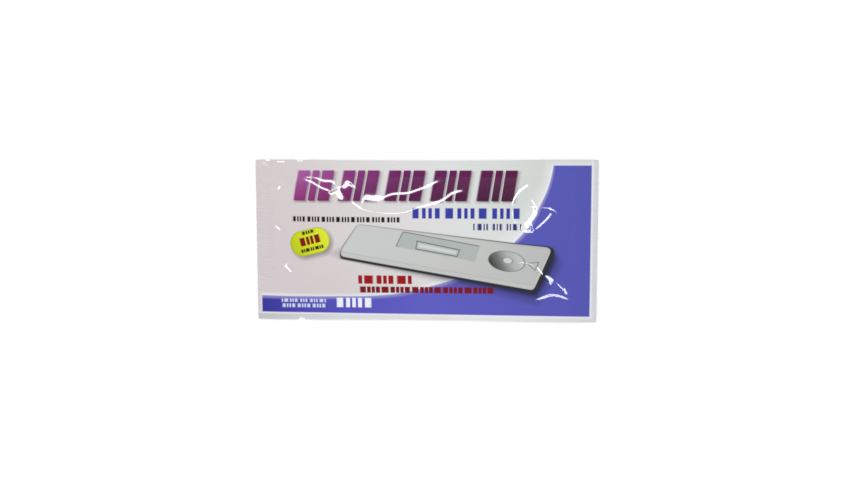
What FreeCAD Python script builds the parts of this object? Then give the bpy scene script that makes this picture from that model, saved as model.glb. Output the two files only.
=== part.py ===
"""Sealed foil pouch for a test cassette, lying flat, with a four-sided seal.

Two sheets of laminate film are sealed to each other along all four edges. A flat cassette
inside lifts the upper film into a low tent with creases at its corners, and the pouch lies
on the flat patch that the cassette presses into the lower film. A sealed pouch can't be
seen into, so it is one solid. Millimetres, +X along the pouch, +Z up, origin at the centre
of the rest face.
"""
import FreeCAD, Part

import math
import os

# Cut size of the film and its thickness
pouch_length = 136.0
pouch_width = 64.5
film_thickness = 0.12
edge_draw_in = 0.4

# Seal bands, measured in from each edge
seal_left = 7.5
seal_right = 11.0
seal_front = 7.75
seal_back = 6.5

# Ribs that the sealing jaws press across the two end seals
rib_pitch = 1.2
rib_height = 0.14
rib_land = 0.8

# Tear notches in the two long edges
notch_width = 2.8
notch_depth = 2.0
notch_from_left = 18.0

# Flat cassette inside, seen only as the tent that it makes of the film
cassette_length = 70.0
cassette_width = 22.0
cassette_forward = 2.0
cassette_thickness = 4.6
film_slack = 0.7
back_sag = 0.35
shoulder_softness = 0.055

# Height of the seal above the surface that the pouch lies on
seal_lift = 1.3
seal_droop = 0.5

# Creases of the upper film: height and half width of the fold's two slopes
crease_height = 0.62
crease_reach = 2.6
pinch_height = 1.05
pinch_reach = 3.4

# Size of the control net's cells
net_step = 1.45

# Faces of the seals and the cassette, from the sizes above
half_length = pouch_length / 2
half_width = pouch_width / 2
pocket_left = -half_length + seal_left
pocket_right = half_length - seal_right
pocket_front = -half_width + seal_front
pocket_back = half_width - seal_back
cassette_left = -cassette_length / 2
cassette_right = cassette_length / 2
cassette_front = cassette_forward - cassette_width / 2
cassette_back = cassette_forward + cassette_width / 2
seal_thickness = 2 * film_thickness
tent_top = cassette_thickness + seal_thickness + film_slack


def point(x, y, z=0.0):
    return FreeCAD.Vector(x, y, z)


def crease(corner, offsets, height=crease_height, reach=crease_reach):
    """A fold line through points given as offsets from one corner of the cassette."""
    curve = Part.BSplineCurve()
    curve.interpolate([point(corner[0] + dx, corner[1] + dy) for dx, dy in offsets])
    return curve.discretize(Number=6 * len(offsets)), height, reach


def creases():
    """The folds of the upper film, corner by corner, each from its outer end inwards."""
    back_left = (cassette_left, cassette_back)
    back_right = (cassette_right, cassette_back)
    front_right = (cassette_right, cassette_front)
    front_left = (cassette_left, cassette_front)
    return [
        # Pair of folds from the back left corner of the pocket to the cassette
        crease(back_left, [(-14.5, 10.5), (-9.0, 11.0), (-3.5, 10.0), (0.0, 7.0), (2.0, 2.0)]),
        crease(back_left, [(-14.0, 10.2), (-10.5, 9.6), (-6.0, 7.4), (-2.0, 6.0)]),
        # Two long crescents where the film sags behind the cassette
        crease(back_left, [(12.0, 4.8), (15.6, 3.0), (22.0, 5.0), (32.0, 6.8), (40.0, 10.6)]),
        crease(back_left, [(7.6, 0.8), (13.5, -1.7), (24.0, -2.2), (34.0, 0.4), (49.2, 6.4)]),
        # Crescent round the back right corner of the cassette
        crease(back_right, [(5.5, 9.2), (1.0, 5.0), (-0.8, 0.0), (1.0, -6.4)]),
        # Pinched fold that stands beside it
        crease(back_right, [(15.4, -1.4), (12.2, -4.4), (8.6, -8.2), (5.6, -9.6)],
               pinch_height, pinch_reach),
        # Folds from the front right corner of the cassette to the corner of the pocket
        crease(front_right, [(1.6, 0.4), (9.0, -1.4), (13.5, -5.2), (18.0, -8.6), (21.0, -12.0)]),
        crease(front_right, [(9.0, -14.0), (14.8, -12.2), (21.0, -14.2)]),
        # Soft fold from the front left corner of the cassette to the corner of the pocket
        crease(front_left, [(0.5, -0.5), (-8.0, -5.0), (-18.0, -11.0)], 0.4, 4.0),
    ]


def distance_to(line, x, y):
    """Shortest distance in plan from (x, y) to a chain of points."""
    best = math.inf
    for a, b in zip(line, line[1:]):
        run_x = b.x - a.x
        run_y = b.y - a.y
        along = ((x - a.x) * run_x + (y - a.y) * run_y) / (run_x ** 2 + run_y ** 2)
        along = min(max(along, 0.0), 1.0)
        best = min(best, math.hypot(x - a.x - along * run_x, y - a.y - along * run_y))
    return best


def tent(x, y):
    """Share of the full height: 0 at the seals, 1 over the cassette, hips between them."""
    slopes = [
        (x - pocket_left) / (cassette_left - pocket_left),
        (pocket_right - x) / (pocket_right - cassette_right),
        (y - pocket_front) / (cassette_front - pocket_front),
        (pocket_back - y) / (pocket_back - cassette_back),
        1.0,
    ]
    soft = shoulder_softness
    return max(0.0, -soft * math.log(sum(math.exp(-slope / soft) for slope in slopes)))


def upper_height(x, y, folds):
    """Outer face of the upper film."""
    share = tent(x, y)
    seal_face = seal_lift + seal_thickness / 2
    height = seal_face + (tent_top - seal_face) * share
    ridge = 0.0
    for line, rise, reach in folds:
        away = distance_to(line, x, y) / reach
        if away < 1.0:
            ridge = max(ridge, rise * (1.0 - away) ** 1.5)
    return height + ridge * min(1.0, 5.0 * share)


def lower_height(x, y, folds):
    """Outer face of the lower film, which would sag a little below the rest face."""
    seal_face = seal_lift - seal_thickness / 2
    return seal_face - (seal_face + back_sag) * tent(x, y)


def knots_of(count):
    """Knots and multiplicities of a clamped, evenly spaced cubic with so many poles."""
    spans = count - 3
    return [i / spans for i in range(spans + 1)], [4] + [1] * (spans - 1) + [4]


def pole_places(count):
    """Where the poles of that cubic stand along its direction, from 0 to 1."""
    knots, repeats = knots_of(count)
    full = [knot for knot, times in zip(knots, repeats) for _ in range(times)]
    return [sum(full[i + 1:i + 4]) / 3 for i in range(count)]


def edge_at(x):
    """Half the width of the pouch at x: the bulge draws the long edges in a little."""
    middle = (pocket_left + pocket_right) / 2
    reach = (pocket_right - pocket_left) / 2
    return half_width - edge_draw_in * (1.0 - ((x - middle) / reach) ** 2) ** 2


def film_face(height, folds=()):
    """One film between the end seals, as a smooth face over a net of poles."""
    across_count = round(pouch_width / net_step)
    along_count = round((pocket_right - pocket_left) / net_step)
    poles = []
    for u in pole_places(along_count):
        x = pocket_left + (pocket_right - pocket_left) * u
        row = []
        for v in pole_places(across_count):
            y = edge_at(x) * (2.0 * v - 1.0)
            row.append(point(x, y, height(x, y, folds)))
        poles.append(row)
    knots_u, repeats_u = knots_of(along_count)
    knots_v, repeats_v = knots_of(across_count)
    surface = Part.BSplineSurface()
    surface.buildFromPolesMultsKnots(poles, repeats_u, repeats_v, knots_u, knots_v,
                                     False, False, 3, 3)
    return surface


def pillow():
    """The pouch between its end seals: two films closed by narrow faces at their edges."""
    upper = film_face(upper_height, creases())
    lower = film_face(lower_height)
    faces = [upper.toShape(), lower.toShape()]
    rims = [
        (upper.uIso(0.0), lower.uIso(0.0)),
        (upper.uIso(1.0), lower.uIso(1.0)),
        (upper.vIso(0.0), lower.vIso(0.0)),
        (upper.vIso(1.0), lower.vIso(1.0)),
    ]
    faces += [Part.makeRuledSurface(top.toShape(), under.toShape()) for top, under in rims]
    shell = Part.makeShell(faces)
    shell.sewShape()
    solid = Part.makeSolid(shell)
    solid.fix(1e-4, 1e-4, 1e-4)
    if solid.Volume < 0:
        solid.reverse()
    return solid


def strip_section(upper_edge):
    """Section across an end seal, in the plane x = 0: a strip under the given edge."""
    upper = [point(0, y, z) for y, z in upper_edge]
    lower = [point(0, y, z - seal_thickness) for y, z in reversed(upper_edge)]
    return Part.Face(Part.makePolygon(upper + lower + upper[:1]))


def rib_edge():
    """Upper edge of the ribbed strip: a fold up and a fold down for each rib."""
    folds = 2 * round(pouch_width / rib_pitch)
    base = seal_lift + seal_thickness / 2
    rises = [rib_height if i % 2 else 0.0 for i in range(folds + 1)]
    return [(i * pouch_width / folds - half_width, base + rise) for i, rise in enumerate(rises)]


def end_seal(border, side, width):
    """An end seal that droops outwards from the pocket: a plain land, then ribs."""
    slope = -seal_droop / width
    base = seal_lift + seal_thickness / 2
    land_run = point(side * rib_land, 0, rib_land * slope)
    rib_run = point(side * (width - rib_land), 0, (width - rib_land) * slope)
    land = strip_section([(-half_width, base), (half_width, base)]).extrude(land_run)
    ribs = strip_section(rib_edge()).extrude(rib_run)
    ribs.translate(land_run)
    seal = land.fuse(ribs)
    seal.translate(point(border, 0))
    return seal


def tear_notch(side):
    """A cutter for one notch, with its tip pointing inwards from a long edge."""
    x = -half_length + notch_from_left
    edge = side * edge_at(x)
    half = notch_width / 2
    outside = side * notch_depth
    mouth = half * (notch_depth + abs(outside)) / notch_depth
    corners = [
        point(x, edge - outside),
        point(x - mouth, edge + outside),
        point(x + mouth, edge + outside),
    ]
    section = Part.Face(Part.makePolygon(corners + corners[:1]))
    return section.extrude(point(0, 0, tent_top))


def below_rest_face():
    """Everything under the surface that the pouch lies on."""
    depth = back_sag + 1.0
    corner = point(-half_length, -half_width, -depth)
    return Part.makeBox(pouch_length, pouch_width, depth, corner)


def sealed_pouch():
    pouch = pillow().cut([tear_notch(-1), tear_notch(1), below_rest_face()])
    seals = [
        end_seal(pocket_left, -1, seal_left),
        end_seal(pocket_right, 1, seal_right),
    ]
    return pouch.fuse(seals)


os.makedirs("parts", exist_ok=True)
pouch = sealed_pouch()
pouch.Solids[0].exportStep("parts/sealed_pouch.step")
box = pouch.BoundBox
print("solids", len(pouch.Solids), "valid", pouch.isValid(), "volume", round(pouch.Volume, 1))
print("box", [round(v, 3) for v in (box.XMin, box.XMax, box.YMin, box.YMax, box.ZMin, box.ZMax)])
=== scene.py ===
"""Studio scene for a sealed foil pouch that lies flat and is seen from above.

The pouch is one welded pack: two laminate films sealed to each other on all four sides
round a flat test cassette, which shows only as a low tent in the upper film. The scene
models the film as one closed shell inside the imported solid's box, prints its upper face
with plain fields of colour, and leaves its lower face bare.
"""

import logging
import math
from dataclasses import dataclass, replace
from enum import Enum
from functools import partial
from typing import Any, Callable, Sequence

import bmesh
import bpy
import numpy as np
from mathutils import Matrix, Vector

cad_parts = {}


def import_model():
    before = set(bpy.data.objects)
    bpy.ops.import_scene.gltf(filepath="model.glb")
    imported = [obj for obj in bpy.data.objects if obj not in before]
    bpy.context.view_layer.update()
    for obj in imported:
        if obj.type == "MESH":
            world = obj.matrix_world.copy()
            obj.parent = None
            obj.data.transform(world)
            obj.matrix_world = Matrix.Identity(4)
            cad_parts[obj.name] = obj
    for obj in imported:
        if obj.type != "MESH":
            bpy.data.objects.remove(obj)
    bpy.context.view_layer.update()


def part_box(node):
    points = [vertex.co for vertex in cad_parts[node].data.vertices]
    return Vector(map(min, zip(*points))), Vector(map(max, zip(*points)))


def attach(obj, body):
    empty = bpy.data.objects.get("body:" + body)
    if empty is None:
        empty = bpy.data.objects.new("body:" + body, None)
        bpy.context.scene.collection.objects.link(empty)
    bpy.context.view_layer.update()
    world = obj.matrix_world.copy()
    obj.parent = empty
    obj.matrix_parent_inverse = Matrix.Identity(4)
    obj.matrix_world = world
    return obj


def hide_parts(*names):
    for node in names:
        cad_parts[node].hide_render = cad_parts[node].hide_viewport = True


MM = 0.001
PROBE = 0.2  # millimetres each way over which the film's slope is measured
LEAST_SLOPE = 0.1
LEAST_RISE = 0.04
LOG = logging.getLogger("pouch")
Socket = bpy.types.NodeSocket
PlanPoint = tuple[float, float]
Surface = Callable[[np.ndarray, np.ndarray], np.ndarray]


class Face(Enum):
    """Which finish a face of the film takes: the number is its material slot."""

    PRINTED = 0
    BARE = 1


def linear(hex_colour: str) -> tuple[float, float, float, float]:
    """Turn an sRGB hex colour into linear values.

    Args:
        hex_colour: six hexadecimal digits after a hash mark.

    Returns:
        Linear red, green and blue, and an alpha of 1.
    """
    parts = [int(hex_colour[i:i + 2], 16) / 255 for i in (1, 3, 5)]
    values = [p / 12.92 if p <= 0.04045 else ((p + 0.055) / 1.055) ** 2.4 for p in parts]
    return values[0], values[1], values[2], 1.0


def add_node(
    tree: bpy.types.NodeTree,
    kind: str,
    inputs: Sequence[Any] | dict[str, Any] = (),
    output: int = 0,
    **settings: Any,
) -> Socket:
    """Add one node to a tree, set it and link it.

    Args:
        tree: the node tree that takes the node.
        kind: Blender's name of the node's type.
        inputs: values for the input sockets, in order or by socket name; a socket is
            linked, None is left alone, and anything else becomes the socket's value.
        output: which output socket to return.
        settings: attributes of the node.

    Returns:
        The output socket that was asked for, or None for a node without outputs.
    """
    node = tree.nodes.new(kind)
    for name, value in settings.items():
        setattr(node, name, value)
    pairs = inputs.items() if isinstance(inputs, dict) else enumerate(inputs)
    for key, value in pairs:
        if isinstance(value, bpy.types.NodeSocket):
            tree.links.new(value, node.inputs[key])
        elif value is not None:
            node.inputs[key].default_value = value
    return node.outputs[output] if node.outputs else None


def smooth_line(points: Sequence[PlanPoint], steps: int = 8) -> np.ndarray:
    """Run a smooth curve through points in plan.

    Args:
        points: the points, in millimetres.
        steps: how many short runs each stretch is divided into.

    Returns:
        An array of points along the curve, one row each.
    """
    p = np.array(points, float)
    p = np.vstack([2 * p[0] - p[1], p, 2 * p[-1] - p[-2]])
    t = np.linspace(0, 1, steps, endpoint=False)[:, None]
    runs = []
    for a, b, c, d in zip(p, p[1:], p[2:], p[3:]):
        runs.append(0.5 * (2 * b + (c - a) * t + (2 * a - 5 * b + 4 * c - d) * t ** 2
                           + (3 * b - a - 3 * c + d) * t ** 3))
    return np.vstack([*runs, p[-2:-1]])


@dataclass(frozen=True)
class Crease:
    """A fold of the film with a steep side and a gentle one.

    Args:
        points: points along the middle of the steep side, in millimetres in plan; the
            steep side falls to the left of their direction.
        reach: how far the steep side runs out from the crest.
        tilts: how steep that side stands against the level, in degrees, at both ends.
        gentle: how many times wider the other side is.
        blunt: how abruptly the fold ends; 2 tapers along its whole length.
        on_seal: True for a wrinkle that keeps its height on the seals.
    """

    points: tuple[PlanPoint, ...]
    reach: float = 1.0
    tilts: tuple[float, float] = (24.0, 24.0)
    gentle: float = 2.0
    blunt: float = 6.0
    on_seal: bool = False

    def fold(self, film: Surface, hold: Surface) -> Surface:
        """Fold the film along the line.

        Args:
            film: gives the height of the film before at places in plan.
            hold: gives the share of its height that a fold keeps there.

        Returns:
            The same for the folded film.
        """
        line = smooth_line(self.points)
        way = np.gradient(line, axis=0)
        way /= np.linalg.norm(way, axis=1, keepdims=True)
        left = np.stack([-way[:, 1], way[:, 0]], 1)
        down, aside = (
            (film(*(line - PROBE * step).T) - film(*(line + PROBE * step).T)) / (2 * PROBE)
            for step in (left, way)
        )
        slope = np.tan(np.radians(np.linspace(*self.tilts, len(line))))
        steep = np.sqrt(np.maximum(slope ** 2 - aside ** 2, LEAST_SLOPE ** 2))
        rise = np.maximum(steep - down, LEAST_RISE) * self.reach * math.sqrt(math.e / 2)
        crest = line - left * self.reach / math.sqrt(2)
        count = len(crest) - 1

        def folded(x: np.ndarray, y: np.ndarray) -> np.ndarray:
            """Height of the folded film at each place."""
            best = np.full(x.shape, np.inf)
            height = np.zeros(x.shape)
            for i, (a, b) in enumerate(zip(crest, crest[1:])):
                run = b - a
                across = run[0] * (y - a[1]) - run[1] * (x - a[0])
                t = ((x - a[0]) * run[0] + (y - a[1]) * run[1]) / max(run @ run, 1e-9)
                t = np.clip(t, 0, 1)
                away = np.hypot(x - a[0] - t * run[0], y - a[1] - t * run[1])
                reach = np.where(across > 0, self.reach, self.reach * self.gentle)
                ends = 1 - np.abs(2 * (i + t) / count - 1) ** self.blunt
                here = ((1 - t) * rise[i] + t * rise[i + 1]) * np.exp(-(away / reach) ** 2)
                height = np.where(away < best, here * ends, height)
                best = np.minimum(away, best)
            kept = 1 if self.on_seal else hold(x, y)
            return film(x, y) + height * kept

        return folded


@dataclass(frozen=True)
class FilmShape:
    """The form of the two films, in millimetres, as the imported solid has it."""

    length: float
    width: float
    top: float
    film_thickness: float = 0.12
    edge_draw_in: float = 0.4
    seal_left: float = 7.5
    seal_right: float = 11.0
    seal_front: float = 7.75
    seal_back: float = 6.5
    seal_lift: float = 1.3
    seal_droop: float = 0.5
    rib_pitch: float = 1.2
    rib_height: float = 0.14
    rib_land: float = 0.8
    notch_width: float = 2.8
    notch_depth: float = 2.0
    notch_from_left: float = 18.0
    cassette_length: float = 70.0
    cassette_width: float = 22.0
    cassette_forward: float = 2.0
    tent_top: float = 5.45
    shoulder_softness: float = 0.055
    top_softness: float = 0.03
    rib_ramp: float = 0.4
    back_sag: float = 0.35
    fold_fade: float = 0.2
    creases: tuple[Crease, ...] = ()

    @property
    def pocket(self) -> tuple[float, float, float, float]:
        """Left, right, front and back borders of the seals."""
        return (
            self.seal_left - self.length / 2,
            self.length / 2 - self.seal_right,
            self.seal_front - self.width / 2,
            self.width / 2 - self.seal_back,
        )

    def tent(self, x: np.ndarray, y: np.ndarray) -> np.ndarray:
        """Share of the full height at each place: 0 at the seals, 1 over the cassette."""
        left, right, front, back = self.pocket
        half_length = self.cassette_length / 2
        near = self.cassette_forward - self.cassette_width / 2
        far = self.cassette_forward + self.cassette_width / 2
        slopes = [
            (x - left) / (-half_length - left),
            (right - x) / (right - half_length),
            (y - front) / (near - front),
            (back - y) / (back - far),
            np.ones_like(x),
        ]
        soft = self.shoulder_softness
        total = sum(np.exp(-np.clip(slope, -4, 4) / soft) for slope in slopes)
        return np.maximum(0, -soft * np.log(total))

    def droop(self, x: np.ndarray) -> np.ndarray:
        """How far the end seals hang below the pocket's border at each place."""
        left, right, _, _ = self.pocket
        out_left = np.clip((left - x) / self.seal_left, 0, 1)
        out_right = np.clip((x - right) / self.seal_right, 0, 1)
        return self.seal_droop * (out_left + out_right)

    def ribs(self, x: np.ndarray, y: np.ndarray) -> np.ndarray:
        """Height of the pressed ribs of the end seals at each place."""
        left, right, _, _ = self.pocket
        outside = np.maximum(left - self.rib_land - x, x - right - self.rib_land)
        pitch = self.width / round(self.width / self.rib_pitch)
        wave = 0.5 - 0.5 * np.cos(2 * math.pi * (y + self.width / 2) / pitch)
        return self.rib_height * wave * np.clip(outside / self.rib_ramp, 0, 1)

    def edge(self, x: np.ndarray) -> np.ndarray:
        """Half the width at each place along the pouch, with the notches left out."""
        left, right, _, _ = self.pocket
        share = np.clip((2 * x - left - right) / (right - left), -1, 1)
        return self.width / 2 - self.edge_draw_in * (1 - share ** 2) ** 2

    def notched_edge(self, x: np.ndarray) -> np.ndarray:
        """The same with the two tear notches cut in."""
        away = np.abs(x - self.notch_x) / (self.notch_width / 2)
        return self.edge(x) - self.notch_depth * np.clip(1 - away, 0, 1)

    @property
    def notch_x(self) -> float:
        """Place of the tear notches along the pouch."""
        return self.notch_from_left - self.length / 2

    def smooth_upper(self, x: np.ndarray, y: np.ndarray) -> np.ndarray:
        """Outer face of the upper film at each place, without folds and ribs."""
        base = self.seal_lift + self.film_thickness
        return base + (self.tent_top - base) * self.tent(x, y) - self.droop(x)

    def upper(self, x: np.ndarray, y: np.ndarray) -> np.ndarray:
        """Outer face of the upper film at each place, folded along one crease after another."""
        film = self.smooth_upper
        for crease in self.creases:
            film = crease.fold(film, lambda x, y: np.minimum(1, self.tent(x, y) / self.fold_fade))
        height = film(x, y) + self.ribs(x, y)
        cap = self.top_softness
        return self.top - cap * np.logaddexp(0, (self.top - height) / cap)

    def lower(self, x: np.ndarray, y: np.ndarray) -> np.ndarray:
        """Outer face of the lower film at each place."""
        base = self.seal_lift - self.film_thickness
        sagging = base - (base + self.back_sag) * self.tent(x, y)
        return np.maximum(sagging - self.droop(x) + self.ribs(x, y), 0)


@dataclass
class PouchFilm:
    """The sealed film as one closed shell: upper film, lower film and the cut edge."""

    shape: FilmShape
    columns: int = 350
    rows_per_rib: int = 4
    notch_zone: float = 4.5
    coarser_below: int = 3
    samples: int = 2001
    column_steps: tuple[tuple[float, float], ...] = (
        (-68, 1.2), (-62, 0.6), (-50, 0.3), (-27, 0.3), (-20, 0.5), (28, 0.5), (34, 0.24),
        (57, 0.24), (59, 1.2), (68, 2.0),
    )

    def columns_at(self, count: int) -> np.ndarray:
        """Places of the grid's columns, with three of them moved to a notch's corners."""
        shape = self.shape
        fine = np.linspace(-shape.length / 2, shape.length / 2, self.samples)
        crowd = np.cumsum(1 / np.interp(fine, *zip(*self.column_steps)))
        places = np.interp(np.linspace(crowd[0], crowd[-1], count + 1), crowd, fine)
        for step in (-1, 0, 1):
            corner = shape.notch_x + step * shape.notch_width / 2
            places[np.abs(places - corner).argmin()] = corner
        return places

    def plan(self, grid: np.ndarray, columns: int) -> tuple[np.ndarray, np.ndarray]:
        """Move a unit grid's points to their places in plan.

        Args:
            grid: the grid's points, from -1 to 1 each way.
            columns: how many columns of cells the grid has.

        Returns:
            Places along and across the pouch, in millimetres.
        """
        shape = self.shape
        index = np.rint((grid[:, 0] + 1) / 2 * columns).astype(int)
        x = self.columns_at(columns)[index]
        y = grid[:, 1] * shape.edge(x)
        zone = shape.edge(x) - self.notch_zone
        squeeze = (shape.notched_edge(x) - zone) / self.notch_zone
        outside = np.maximum(np.abs(y) - zone, 0)
        y = np.where(outside > 0, np.sign(y) * (zone + outside * squeeze), y)
        return x, y

    def sheet(self, mesh: bmesh.types.BMesh, columns: int, rows: int, face: Face) -> list:
        """Make one film as a grid that is moved to its form.

        Args:
            mesh: the mesh that takes the film.
            columns: cells along the pouch.
            rows: cells across it.
            face: the finish; the printed film is the upper one.

        Returns:
            The edges round the film.
        """
        made = bmesh.ops.create_grid(mesh, x_segments=columns, y_segments=rows, size=1)
        verts = made["verts"]
        grid = np.array([v.co for v in verts])
        x, y = self.plan(grid, columns)
        upper = face is Face.PRINTED
        z = self.shape.upper(x, y) if upper else self.shape.lower(x, y)
        for vert, place in zip(verts, np.stack([x, y, z], 1) * MM):
            vert.co = place
        faces = {f for v in verts for f in v.link_faces}
        for f in faces:
            f.material_index = face.value
            f.smooth = True
        if not upper:
            bmesh.ops.reverse_faces(mesh, faces=list(faces))
        return [e for e in mesh.edges if e.is_boundary and e.verts[0] in set(verts)]

    def build(self) -> bpy.types.Object:
        """Make the shell as a mesh object.

        Returns:
            The object, with its place in its mesh.
        """
        shape = self.shape
        rows = self.rows_per_rib * round(shape.width / shape.rib_pitch)
        mesh = bmesh.new()
        upper_rim = self.sheet(mesh, self.columns, rows, Face.PRINTED)
        count = len(mesh.edges)
        coarser = self.coarser_below
        self.sheet(mesh, self.columns // coarser, rows // coarser, Face.BARE)
        mesh.edges.ensure_lookup_table()
        lower_rim = [e for e in mesh.edges[count:] if e.is_boundary]
        cut = bmesh.ops.bridge_loops(mesh, edges=upper_rim + lower_rim)
        for f in cut["faces"]:
            f.material_index = Face.BARE.value
        for e in upper_rim + lower_rim:
            e.smooth = False
        bmesh.ops.recalc_face_normals(mesh, faces=mesh.faces)
        data = bpy.data.meshes.new("pouch_film")
        mesh.to_mesh(data)
        mesh.free()
        piece = bpy.data.objects.new("pouch_film", data)
        bpy.context.scene.collection.objects.link(piece)
        return piece


@dataclass(frozen=True)
class BarRow:
    """A printed row of upright bars of uneven widths.

    Args:
        centre: middle of the row, in millimetres, like the other sizes.
        size: its length and height.
        count: how many bars the row has.
        gap: width of the gaps.
        ink: colour as sRGB hex.
        waves: how often wide and narrow bars take turns along the row.
        lean: how far a bar leans for each millimetre of height.
        turn: how far the row is turned, in degrees.
        corner: rounding of the bars' corners.
    """

    centre: PlanPoint
    size: PlanPoint
    count: int
    gap: float
    ink: str
    waves: int = 3
    lean: float = 0.0
    turn: float = 0.0
    corner: float = 0.3


class PrintPlan:
    """Lays flat inks over each other in a node tree, by distances in millimetres."""

    colour: Socket

    def __init__(self, tree: bpy.types.NodeTree) -> None:
        """Start a print.

        Args:
            tree: the node tree that takes the print.
        """
        self.add = partial(add_node, tree)
        place = self.add("ShaderNodeTexCoord", output=3)
        self.place = self.add("ShaderNodeVectorMath", [place, (1000, 1000, 0), (0, 0, 1)],
                              operation="MULTIPLY_ADD")

    def run(self, start: PlanPoint, direction: Vector) -> Socket:
        """Distance from a point along a direction, at each place."""
        row = (direction.x, direction.y, -direction.dot(Vector(start)))
        return self.add("ShaderNodeVectorMath", [self.place, row], 1, operation="DOT_PRODUCT")

    def side(self, a: PlanPoint, b: PlanPoint) -> Socket:
        """Signed distance to the line from a to b, positive on its right side."""
        step = (Vector(b) - Vector(a)).normalized()
        return self.run(a, Vector((step.y, -step.x)))

    def polygon(self, corners: Sequence[PlanPoint], rounding: float = 0.5) -> Socket:
        """Signed distance to a convex shape, negative inside.

        Args:
            corners: the shape's corners, anticlockwise.
            rounding: how far its corners are rounded.

        Returns:
            The distance in millimetres.
        """
        far, *sides = [self.side(a, b) for a, b in zip(corners, [*corners[1:], corners[0]])]
        for side in sides:
            far = self.add("ShaderNodeMath", [far, side, rounding], operation="SMOOTH_MAX")
        return far

    def ellipse(self, centre: PlanPoint, radii: PlanPoint, turn: float = 0.0) -> Socket:
        """Signed distance to an ellipse, negative inside, nearly true close to its line."""
        unit = self.add("ShaderNodeMapping", [
            self.place, (*centre, 1), (0, 0, math.radians(turn)), (*radii, 1),
        ], vector_type="TEXTURE")
        length = self.add("ShaderNodeVectorMath", [unit], 1, operation="LENGTH")
        size = sum(radii) / 2
        return self.add("ShaderNodeMath", [length, size, -size], operation="MULTIPLY_ADD")

    def plate(self, centre: PlanPoint, size: PlanPoint, turn: float, corner: float) -> Socket:
        """Signed distance to a turned box with round corners, negative inside.

        Args:
            centre: its middle.
            size: its length and width.
            turn: how far it is turned, in degrees.
            corner: radius of its corners.

        Returns:
            The distance in millimetres.
        """
        near = self.add("ShaderNodeMapping", [
            self.place, (*centre, 1), (0, 0, math.radians(turn)),
        ], vector_type="TEXTURE")
        inset = (size[0] / 2 - corner, size[1] / 2 - corner, 0)
        away = self.add("ShaderNodeVectorMath", [near], operation="ABSOLUTE")
        away = self.add("ShaderNodeVectorMath", [away, inset], operation="SUBTRACT")
        away = self.add("ShaderNodeVectorMath", [away, (0, 0, 0)], operation="MAXIMUM")
        length = self.add("ShaderNodeVectorMath", [away], 1, operation="LENGTH")
        return self.moved(length, corner)

    def bars(self, row: BarRow) -> Socket:
        """Signed distance to a row of bars, negative inside."""
        angle = math.radians(row.turn)
        along = Vector((math.cos(angle), math.sin(angle)))
        across = Vector((-along.y, along.x))
        pitch = row.size[0] / row.count
        cell = self.run(row.centre, (along - across * row.lean) / pitch)
        swing = self.add("ShaderNodeMath", [cell, math.tau * row.waves / row.count],
                         operation="MULTIPLY")
        swing = self.add("ShaderNodeMath", [swing], operation="SINE")
        uneven = self.add("ShaderNodeMath", [swing, 0.3, cell], operation="MULTIPLY_ADD")
        uneven = self.add("ShaderNodeMath", [uneven, row.count / 2], operation="ADD")
        beat = self.add("ShaderNodeMath", [uneven, 0.5], operation="PINGPONG")
        side = self.add("ShaderNodeMath", [beat, -pitch, row.gap / 2], operation="MULTIPLY_ADD")
        head = self.outline(self.run(row.centre, across), row.size[1])
        inside = self.add("ShaderNodeMath", [side, head, row.corner], operation="SMOOTH_MAX")
        end = self.add("ShaderNodeMath", [cell, pitch], operation="MULTIPLY")
        end = self.outline(end, row.size[0])
        return self.add("ShaderNodeMath", [inside, end], operation="MAXIMUM")

    def under_curve(self, points: Sequence[PlanPoint], turn: float) -> Socket:
        """Distance to a long curve, negative under it.

        Args:
            points: points of the curve, from left to right.
            turn: direction in degrees that the curve follows as a whole.

        Returns:
            The distance in millimetres, measured square to that direction.
        """
        angle = math.radians(turn)
        along = Vector((math.cos(angle), math.sin(angle)))
        across = Vector((-along.y, along.x))
        start = Vector(points[0])
        runs = [(Vector(p) - start).dot(along) for p in points]
        rises = [(Vector(p) - start).dot(across) for p in points]
        low, depth = min(rises), max(rises) - min(rises)
        share = self.run(points[0], along / runs[-1])
        curve = self.add("ShaderNodeFloatCurve", [1.0, share])
        mapping = curve.node.mapping
        spots = mapping.curves[0].points
        for _ in points[2:]:
            spots.new(0.5, 0.5)
        for spot, run, rise in zip(spots, runs, rises):
            spot.location = (run / runs[-1], (rise - low) / depth)
        mapping.update()
        height = self.run(start + across * low, across)
        return self.add("ShaderNodeMath", [curve, -depth, height], operation="MULTIPLY_ADD")

    def moved(self, distance: Socket, step: float) -> Socket:
        """The same shape grown by a step outwards, or shrunk by a negative one."""
        return self.add("ShaderNodeMath", [distance, step], operation="SUBTRACT")

    def outline(self, distance: Socket, width: float) -> Socket:
        """Distance to a line of some width along a shape's border."""
        ring = self.add("ShaderNodeMath", [distance], operation="ABSOLUTE")
        return self.moved(ring, width / 2)

    def both(self, a: Socket, b: Socket) -> Socket:
        """Distance to the part that two shapes share."""
        return self.add("ShaderNodeMath", [a, b], operation="MAXIMUM")

    def blend(self, start: PlanPoint, end: PlanPoint, inks: Sequence[str]) -> Socket:
        """Colours that run evenly from one point to another.

        Args:
            start: place of the first colour.
            end: place of the last colour.
            inks: the colours as sRGB hex, evenly spaced.

        Returns:
            The colour.
        """
        way = Vector(end) - Vector(start)
        share = self.run(start, way / way.length_squared)
        colour = self.add("ShaderNodeValToRGB", [share])
        stops = colour.node.color_ramp.elements
        for _ in inks[2:]:
            stops.new(0.5)
        for i, (stop, ink) in enumerate(zip(stops, inks)):
            stop.position = i / (len(inks) - 1)
            stop.color = linear(ink)
        return colour

    def mix(self, share: Socket | float, a: Socket, b: Socket | str) -> Socket:
        """Colour between two colours, by the share of the second."""
        b = linear(b) if isinstance(b, str) else b
        return self.add("ShaderNodeMix", {0: share, 6: a, 7: b}, 2, data_type="RGBA")

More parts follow.
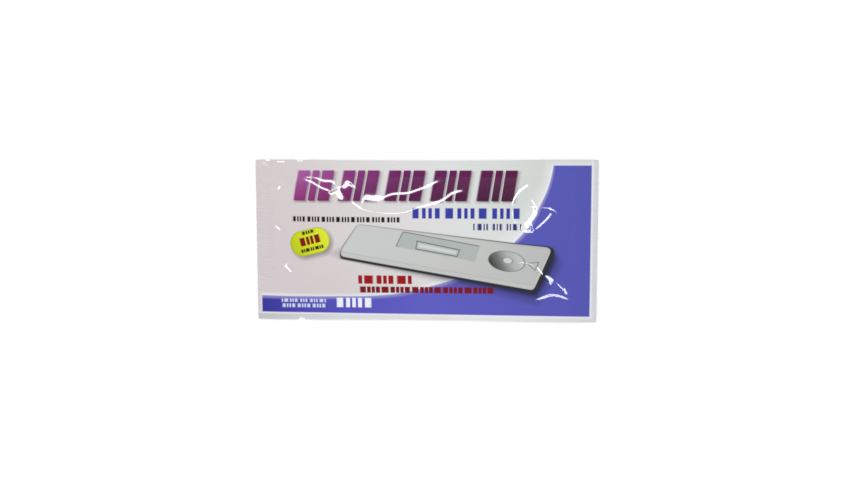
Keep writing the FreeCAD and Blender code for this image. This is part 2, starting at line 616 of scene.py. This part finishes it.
    def lay(self, ink: str | Socket, distance: Socket, soft: float = 0.3,
            strength: float = 1.0) -> None:
        """Lay an ink over a shape.

        Args:
            ink: the colour as sRGB hex, or a colour socket.
            distance: signed distance to the shape.
            soft: width of the blurred border.
            strength: how well the ink covers.
        """
        cover = self.add("ShaderNodeMapRange", [distance, -soft / 2, soft / 2, strength, 0])
        self.colour = self.mix(cover, self.colour, ink)


SMALL_ROWS = (
    BarRow((16.2, 11.3), (44.6, 4.1), 13, 1.5, "#363ca4"),
    BarRow((28.5, 6.0), (19.4, 2.6), 11, 0.95, "#2c3478", 4),
    BarRow((-31.4, 8.7), (44.0, 2.1), 29, 0.6, "#060406", 7),
    BarRow((-16.0, -15.4), (22.0, 3.5), 7, 0.9, "#9c060c", 2),
    BarRow((0.5, -19.6), (54.2, 2.6), 23, 0.5, "#7a0612", 5),
    BarRow((-49.2, -24.4), (18.4, 1.4), 13, 0.6, "#d2d3ee", 4),
    BarRow((-49.2, -26.5), (18.4, 1.5), 12, 0.6, "#d2d3ee", 3),
    BarRow((-28.8, -25.1), (15.8, 3.9), 5, 1.2, "#eeeffa", 1),
)
BADGE_ROWS = (
    BarRow((-46.9, 3.4), (5.6, 1.3), 4, 0.4, "#2a2a08", 1, turn=15.0),
    BarRow((-46.0, 0.2), (9.6, 3.3), 4, 0.7, "#7c0c06", 1, turn=15.0),
    BarRow((-45.0, -3.2), (10.4, 1.4), 8, 0.4, "#2a2a08", 3, turn=15.0),
)


@dataclass(frozen=True)
class PrintedLaminate:
    """Printed film under a clear glossy polyester face. Places are in millimetres."""

    name: str = "printed_laminate"
    sheet: tuple[PlanPoint, ...] = ((-75.0, -29.1), (65.3, -30.0), (65.3, 40.0), (-75.0, 40.0))
    field: tuple[PlanPoint, ...] = ((-66.3, -29.2), (65.3, -30.0), (65.3, 30.0), (-66.3, 30.0))
    swoosh: tuple[PlanPoint, ...] = (
        (-70.0, -22.4), (-34.6, -22.5), (-19.1, -22.0), (-8.8, -20.7), (3.4, -17.6),
        (15.0, -13.6), (27.0, -7.0), (36.9, 1.7), (41.4, 7.2), (44.9, 13.8), (48.6, 22.2),
        (50.6, 33.0),
    )
    face: tuple[PlanPoint, ...] = ((-33.4, -3.9), (42.3, -17.3), (49.2, -2.8), (-26.4, 6.7))
    wall: tuple[PlanPoint, ...] = (
        (-33.5, -5.9), (42.9, -19.3), (49.9, -3.2), (49.3, -2.3), (-26.5, 6.8), (-33.6, -3.6),
    )
    rim: tuple[PlanPoint, ...] = (
        (-33.9, -6.9), (43.8, -20.6), (51.5, -4.4), (50.4, -2.0), (-26.6, 6.9), (-33.9, -3.6),
    )
    shadow: tuple[PlanPoint, ...] = (
        (-33.0, -4.5), (44.0, -23.6), (52.6, -9.0), (50.0, -4.0), (-20.0, 2.0),
    )
    near_shadow: tuple[PlanPoint, ...] = (
        (-33.0, -6.4), (44.2, -21.6), (51.8, -6.0), (50.0, -4.0), (-20.0, 2.0),
    )
    recess: tuple[PlanPoint, ...] = ((-11.4, -1.9), (19.8, -7.7), (21.8, -1.6), (-8.6, 4.0))
    window: tuple[PlanPoint, ...] = ((-3.5, -2.8), (12.8, -5.7), (13.7, -3.1), (-3.0, 0.3))
    well: PlanPoint = (32.3, -7.5)
    badge: PlanPoint = (-46.0, -0.4)
    roughness: float = 0.14
    coat_roughness: float = 0.06
    index: float = 1.7

    def ground(self, plan: PrintPlan) -> None:
        """Lay the pale ground, the violet field and the bare margins."""
        margin = plan.blend((-66.0, 0.0), (66.0, 0.0), (
            "#c0c4c5", "#d8dbdc", "#dfe1de", "#e2e2e2", "#ced1d4",
        ))
        ground = plan.blend((-51.7, -20.7), (51.7, 20.7), (
            "#d5cbce", "#d8cfd0", "#dcd8d8", "#dfdddd", "#dde1df", "#d8ddda", "#d1d6d2",
        ))
        violet = plan.blend((-66.0, 0.0), (66.0, 0.0), (
            "#353298", "#4c4ab2", "#5855be", "#5f5dc2", "#5c5abd", "#5758b6", "#5456b2",
        ))
        field = plan.polygon(self.field, 0.2)
        sheet = plan.polygon(self.sheet, 0.2)
        edge = plan.under_curve(self.swoosh, 24.3)
        plan.colour = margin
        plan.lay(ground, sheet, 0.6)
        haze = plan.both(plan.moved(edge, 3.5), plan.side((12.0, 30.0), (12.0, -30.0)))
        plan.lay("#f3f5f6", plan.both(haze, field), 7.0, 0.5)
        plan.lay("#f0f0f5", plan.both(plan.moved(edge, 0.8), field), 1.8, 0.85)
        plan.lay("#eeeef4", plan.outline(plan.moved(sheet, 0.35), 0.6), 0.5, 0.6)
        fade = plan.add("ShaderNodeMapRange", [edge, -1.8, 0.2, 0.0, 0.75])
        plan.lay(plan.mix(fade, violet, "#b4b4dc"), plan.both(edge, field), 0.45)

    def large_row(self, plan: PrintPlan) -> None:
        """Lay the large row of plum bars with its soft shadow."""
        row = BarRow((-8.0, 22.0), (91.0, 12.0), 15, 1.5, "#5c4a5c", 5, lean=0.16, corner=0.5)
        left, right = (-54.0, 0.0), (37.0, 0.0)
        head = plan.blend(left, right, ("#b05ea6", "#8a367e", "#6c1e60", "#621852", "#5a1046"))
        foot = plan.blend(left, right, ("#8e2e74", "#6e1a5c", "#58104c", "#4a083c", "#400430"))
        fall = plan.add("ShaderNodeMapRange", [plan.side((-60, 0), (60, 0)), -27, -16, 0, 1])
        shade = plan.bars(replace(row, centre=(-7.4, 21.4)))
        plan.lay(row.ink, shade, 1.0, 0.6)
        plan.lay(plan.mix(fall, head, foot), plan.bars(row), 0.35)

    def picture(self, plan: PrintPlan) -> None:
        """Lay the plain picture of a cassette with its shadow."""
        plan.lay("#24243c", plan.polygon(self.shadow, 3.0), 6.0, 0.8)
        plan.lay("#14142c", plan.polygon(self.near_shadow, 2.0), 2.6, 0.85)
        plan.lay("#262b2d", plan.polygon(self.rim, 2.4), 0.5)
        plan.lay("#c6c6c4", plan.polygon(self.wall, 2.2), 0.4)
        face = plan.polygon(self.face, 1.8)
        tone = plan.blend((-33.0, 3.0), (48.0, -12.0), ("#c8cdcd", "#c7c8c6", "#bcbfbe"))
        plan.lay("#9da1a0", plan.moved(face, 0.15), 0.4, 0.7)
        plan.lay(tone, face, 0.5)

        recess = plan.polygon(self.recess, 1.2)
        top = plan.side(self.recess[0], self.recess[2])
        plan.lay("#abb3b0", recess, 0.5, 0.8)
        plan.lay("#56605d", plan.both(plan.outline(recess, 0.35), top), 0.35, 0.85)
        window = plan.polygon(self.window, 0.4)
        plan.lay("#b9c1bf", window, 0.4)
        plan.lay("#d3d7d5", plan.moved(window, -0.9), 0.4)
        plan.lay("#4c5553", plan.outline(window, 0.4), 0.35, 0.85)

        x, y = self.well
        well = plan.ellipse(self.well, (7.2, 4.0), -9.0)
        bowl = plan.blend((x - 5.5, y - 2.5), (x + 4.0, y + 2.0), (
            "#363b38", "#6f7673", "#a9afad", "#c0c4c3",
        ))
        port = plan.ellipse((x + 0.4, y + 0.3), (1.9, 1.2), -9.0)
        plan.lay(bowl, well, 0.4)
        plan.lay("#4c5552", plan.outline(well, 0.35), 0.35, 0.7)
        plan.lay("#d0d3d2", port, 0.4)
        plan.lay("#858b89", plan.outline(port, 0.4), 0.35, 0.8)
        mark = plan.polygon(((40.4, -8.3), (43.4, -11.2), (45.0, -8.0)), 0.2)
        plan.lay("#4a504e", plan.outline(mark, 0.3), 0.35, 0.8)

    def sticker(self, plan: PrintPlan) -> None:
        """Lay the round-ended yellow badge with its shadow."""
        x, y = self.badge
        plan.lay("#5a5460", plan.plate((x + 1.1, y - 1.0), (16.4, 10.2), 15.0, 4.9), 2.4, 0.7)
        badge = plan.plate(self.badge, (16.4, 10.2), 15.0, 4.9)
        tone = plan.blend((x - 8, y - 4), (x + 8, y + 4), ("#b4c410", "#d6e01a", "#dfe838"))
        plan.lay(tone, badge, 0.4)
        plan.lay("#8f9a28", plan.outline(plan.moved(badge, -0.2), 0.35), 0.3, 0.6)
        for row in BADGE_ROWS:
            plan.lay(row.ink, plan.bars(row), 0.35)

    def material(self) -> bpy.types.Material:
        """Make the material.

        Returns:
            The material, with its print in the node tree.
        """
        material = bpy.data.materials.new(self.name)
        material.use_nodes = True
        tree = material.node_tree
        shader = tree.nodes["Principled BSDF"]
        plan = PrintPlan(tree)
        self.ground(plan)
        self.picture(plan)
        self.large_row(plan)
        self.sticker(plan)
        for row in SMALL_ROWS:
            plan.lay(row.ink, plan.bars(row), 0.35)
        tree.links.new(plan.colour, shader.inputs["Base Color"])
        shader.inputs["Roughness"].default_value = self.roughness
        shader.inputs["IOR"].default_value = self.index
        shader.inputs["Coat Weight"].default_value = 1.0
        shader.inputs["Coat Roughness"].default_value = self.coat_roughness
        shader.inputs["Coat IOR"].default_value = self.index
        return material


@dataclass(frozen=True)
class BareFoil:
    """Unprinted satin foil laminate, for the back and the cut edge."""

    name: str = "bare_foil"
    colour: str = "#cfd1d3"
    metal: float = 0.6
    roughness: float = 0.34

    def material(self) -> bpy.types.Material:
        """Make the material."""
        material = bpy.data.materials.new(self.name)
        material.use_nodes = True
        shader = material.node_tree.nodes["Principled BSDF"]
        shader.inputs["Base Color"].default_value = linear(self.colour)
        shader.inputs["Metallic"].default_value = self.metal
        shader.inputs["Roughness"].default_value = self.roughness
        return material


@dataclass
class Studio:
    """Floor, lamps, world and camera: the camera in millimetres, the rest in metres."""

    distance: float = 400.0
    tilt_back: float = 5.99
    tilt_right: float = 3.65
    roll: float = -0.05
    aim: tuple[float, float] = (0.36, 0.20)
    lens: float = 42.25
    strips: tuple[float, ...] = (1.86, 1.86, 2.08, 2.3, 2.4, 2.3, 2.3, 1.86)
    ring_distance: float = 1.0
    ring_angle: float = 50.0
    strip_height: float = 0.16
    strip_fill: float = 0.98
    floor_reach: float = 3.0
    floor_glow: float = 0.25
    sky: float = 0.08

    def floor(self) -> None:
        """Lay a pale floor that keeps the pouch's shadow."""
        mesh = bmesh.new()
        bmesh.ops.create_grid(mesh, x_segments=1, y_segments=1, size=self.floor_reach)
        data = bpy.data.meshes.new("floor")
        mesh.to_mesh(data)
        mesh.free()
        piece = bpy.data.objects.new("floor", data)
        bpy.context.scene.collection.objects.link(piece)
        material = bpy.data.materials.new("floor_paper")
        material.use_nodes = True
        tree = material.node_tree
        tree.nodes.clear()
        seen = add_node(tree, "ShaderNodeLightPath")
        paper = add_node(tree, "ShaderNodeBsdfDiffuse", [linear("#f4f4f4")])
        glow = add_node(tree, "ShaderNodeEmission", [linear("#ffffff"), self.floor_glow])
        lit = add_node(tree, "ShaderNodeAddShader", [paper, glow])
        mixed = add_node(tree, "ShaderNodeMixShader", [seen, paper, lit])
        add_node(tree, "ShaderNodeOutputMaterial", [mixed])
        data.materials.append(material)

    def ring(self) -> None:
        """Hang a ring of strip lamps, leaning away from the camera as far as it leans."""
        count = len(self.strips)
        across = self.ring_distance * math.sin(math.radians(self.ring_angle))
        length = 2 * across * math.tan(math.pi / count) * self.strip_fill
        axis = self.camera_axis() * Vector((-1, -1, 1))
        lean = Vector((0, 0, 1)).rotation_difference(axis)
        for i, power in enumerate(self.strips):
            data = bpy.data.lights.new(f"strip_lamp_{i}", "AREA")
            data.shape = "RECTANGLE"
            data.size = length
            data.size_y = self.strip_height
            data.energy = power
            lamp = bpy.data.objects.new(data.name, data)
            bpy.context.scene.collection.objects.link(lamp)
            turn = Matrix.Rotation(math.tau * i / count, 4, "Z")
            tip = Matrix.Rotation(math.radians(self.ring_angle), 4, "X")
            out = Matrix.Translation((0, 0, self.ring_distance))
            lamp.matrix_world = lean.to_matrix().to_4x4() @ turn @ tip @ out

    def camera_axis(self) -> Vector:
        """Direction from the pouch to the camera."""
        a, b = math.radians(self.tilt_back), math.radians(self.tilt_right)
        return Vector((math.sin(b), math.sin(a) * math.cos(b), math.cos(a) * math.cos(b)))

    def camera(self) -> None:
        """Set the camera above the pouch, where the photograph was taken from."""
        data = bpy.data.cameras.new("camera")
        data.lens = self.lens
        data.sensor_width = 36
        data.clip_start = 0.01
        camera = bpy.data.objects.new("camera", data)
        bpy.context.scene.collection.objects.link(camera)
        away = self.camera_axis()
        right = Vector((0, 1, 0)).cross(away).normalized()
        up = away.cross(right)
        c = math.radians(self.roll)
        right, up = right * math.cos(c) + up * math.sin(c), up * math.cos(c) - right * math.sin(c)
        turn = Matrix((right, up, away)).transposed().to_4x4()
        aim = Vector((*self.aim, 0)) * MM
        camera.matrix_world = Matrix.Translation(aim + away * self.distance * MM) @ turn
        bpy.context.scene.camera = camera

    def build(self) -> None:
        """Set up the whole studio."""
        scene = bpy.context.scene
        scene.view_settings.view_transform = "Standard"
        world = bpy.data.worlds.new("studio")
        scene.world = world
        world.use_nodes = True
        tree = world.node_tree
        background = tree.nodes["Background"]
        background.inputs["Color"].default_value = (1, 1, 1, 1)
        background.inputs["Strength"].default_value = self.sky
        self.floor()
        self.ring()
        self.camera()


CREASES = (
    # Broad facets: where the left folds meet, the start of the upper crescent, the pinch
    Crease(((-35.4, 21.0), (-34.0, 18.4), (-32.0, 14.8)), 2.0, (24.8, 26.0), 1.0, 4.0),
    Crease(((-33.4, 20.0), (-30.2, 23.6)), 2.0, (23.2, 21.4), 1.2, 4.0),
    Crease(((-24.6, 17.8), (-21.0, 17.0), (-17.0, 17.6)), 2.0, (24.6, 24.0), 1.5, 3.0),
    Crease(((44.2, 13.0), (42.0, 9.6), (38.2, 5.6)), 2.2, (22.2, 22.8), 1.0, 4.0),
    # Pair of folds from the back left corner
    Crease(((-49.6, 24.9), (-46.8, 25.8), (-43.6, 25.1), (-40.5, 23.9), (-37.0, 23.5),
            (-35.0, 20.8)), 0.6, (27.0, 25.6)),
    Crease(((-48.9, 24.7), (-45.3, 23.4), (-41.3, 21.1), (-37.0, 19.6)), 0.6, (25.6, 25.4)),
    # Two long crescents behind the cassette
    Crease(((-24.4, 18.0), (-19.2, 16.4), (-13.2, 18.6), (-6.9, 19.1), (-2.4, 20.5),
            (2.2, 22.3), (5.6, 24.6)), 0.7, (25.0, 24.6)),
    Crease(((-29.8, 16.4), (-27.2, 14.3), (-23.9, 12.5), (-19.3, 11.6), (-13.2, 11.2),
            (-8.0, 11.6), (-2.4, 13.5), (2.2, 14.7)), 0.6, (27.2, 27.2), 3.0),
    Crease(((-2.4, 13.4), (2.2, 14.7), (7.1, 16.5), (10.7, 19.0), (15.4, 20.4)), 0.8,
           (25.4, 24.8)),
    # Crescent round the back right corner, in two parts
    Crease(((37.4, 5.2), (35.6, 7.6), (34.5, 10.6), (34.2, 14.4)), 0.5, (36.0, 33.0), 4.0),
    Crease(((34.2, 12.6), (34.5, 15.6), (36.0, 18.5), (38.1, 20.7), (40.6, 22.6)), 0.5,
           (29.0, 25.4), 3.0),
    # Edges of the pinched fold
    Crease(((41.5, 17.1), (43.8, 13.4)), 0.6, (23.4, 23.0)),
    Crease(((50.6, 12.6), (47.9, 9.2), (44.9, 6.4), (42.4, 4.3)), 1.1, (22.6, 23.2), 1.0),
    Crease(((42.8, 4.8), (40.4, 4.2), (37.4, 4.8)), 1.5, (23.4, 24.8), 1.0),
    Crease(((43.8, 13.5), (47.4, 13.4), (50.0, 13.0), (52.6, 10.6)), 0.5, (25.6, 22.0)),
    # Folds at the front right corner
    Crease(((28.6, -7.4), (34.8, -7.9), (40.4, -8.4), (44.8, -10.2)), 0.5, (30.0, 25.0), 2.0),
    Crease(((44.0, -9.6), (45.2, -11.2), (46.8, -13.2)), 0.7, (24.4, 24.4)),
    Crease(((45.8, -12.4), (48.2, -13.8), (51.0, -15.4)), 1.5, (23.0, 23.0), 1.2, 2.0),
    Crease(((51.2, -15.6), (53.4, -17.7), (55.0, -19.4)), 0.5, (23.4, 24.0)),
    Crease(((55.0, -17.9), (55.5, -19.4), (56.0, -21.0)), 0.5, (24.8, 24.8)),
    Crease(((58.2, -23.9), (55.4, -22.3), (52.6, -21.3), (49.8, -21.1), (46.8, -22.2),
            (42.8, -23.8)), 1.0, (28.0, 25.4), 2.0, 4.0, on_seal=True),
    # Small wrinkles beside the left seal and along the back edge
    Crease(((-60.8, 7.8), (-58.8, 6.0), (-56.6, 4.2)), 0.5, (26.6, 26.6), on_seal=True),
    Crease(((-58.4, 21.8), (-57.0, 21.0), (-55.4, 20.5)), 0.5, (23.4, 23.4), on_seal=True),
    Crease(((-55.8, -9.4), (-54.2, -10.8), (-52.6, -12.4)), 0.5, (26.0, 26.4), on_seal=True),
    Crease(((-65.0, 31.2), (-62.4, 31.4), (-60.4, 31.2)), 0.6, (27.0, 27.0), on_seal=True),
    Crease(((-59.6, 31.3), (-57.6, 31.4), (-55.4, 31.2)), 0.6, (27.0, 27.0), on_seal=True),
)


def main() -> None:
    """Build the scene piece by piece."""
    logging.basicConfig(level=logging.INFO, format="%(name)s: %(message)s")
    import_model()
    low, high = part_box("sealed_pouch")
    size = (high - low) / MM
    shape = FilmShape(length=size.x, width=size.y, top=size.z, creases=CREASES)
    film = PouchFilm(shape).build()
    for finish in (PrintedLaminate(), BareFoil()):
        film.data.materials.append(finish.material())
    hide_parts("sealed_pouch")
    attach(film, "root")
    LOG.info("film: %d faces", len(film.data.polygons))
    Studio().build()


if __name__ == "__main__":
    main()
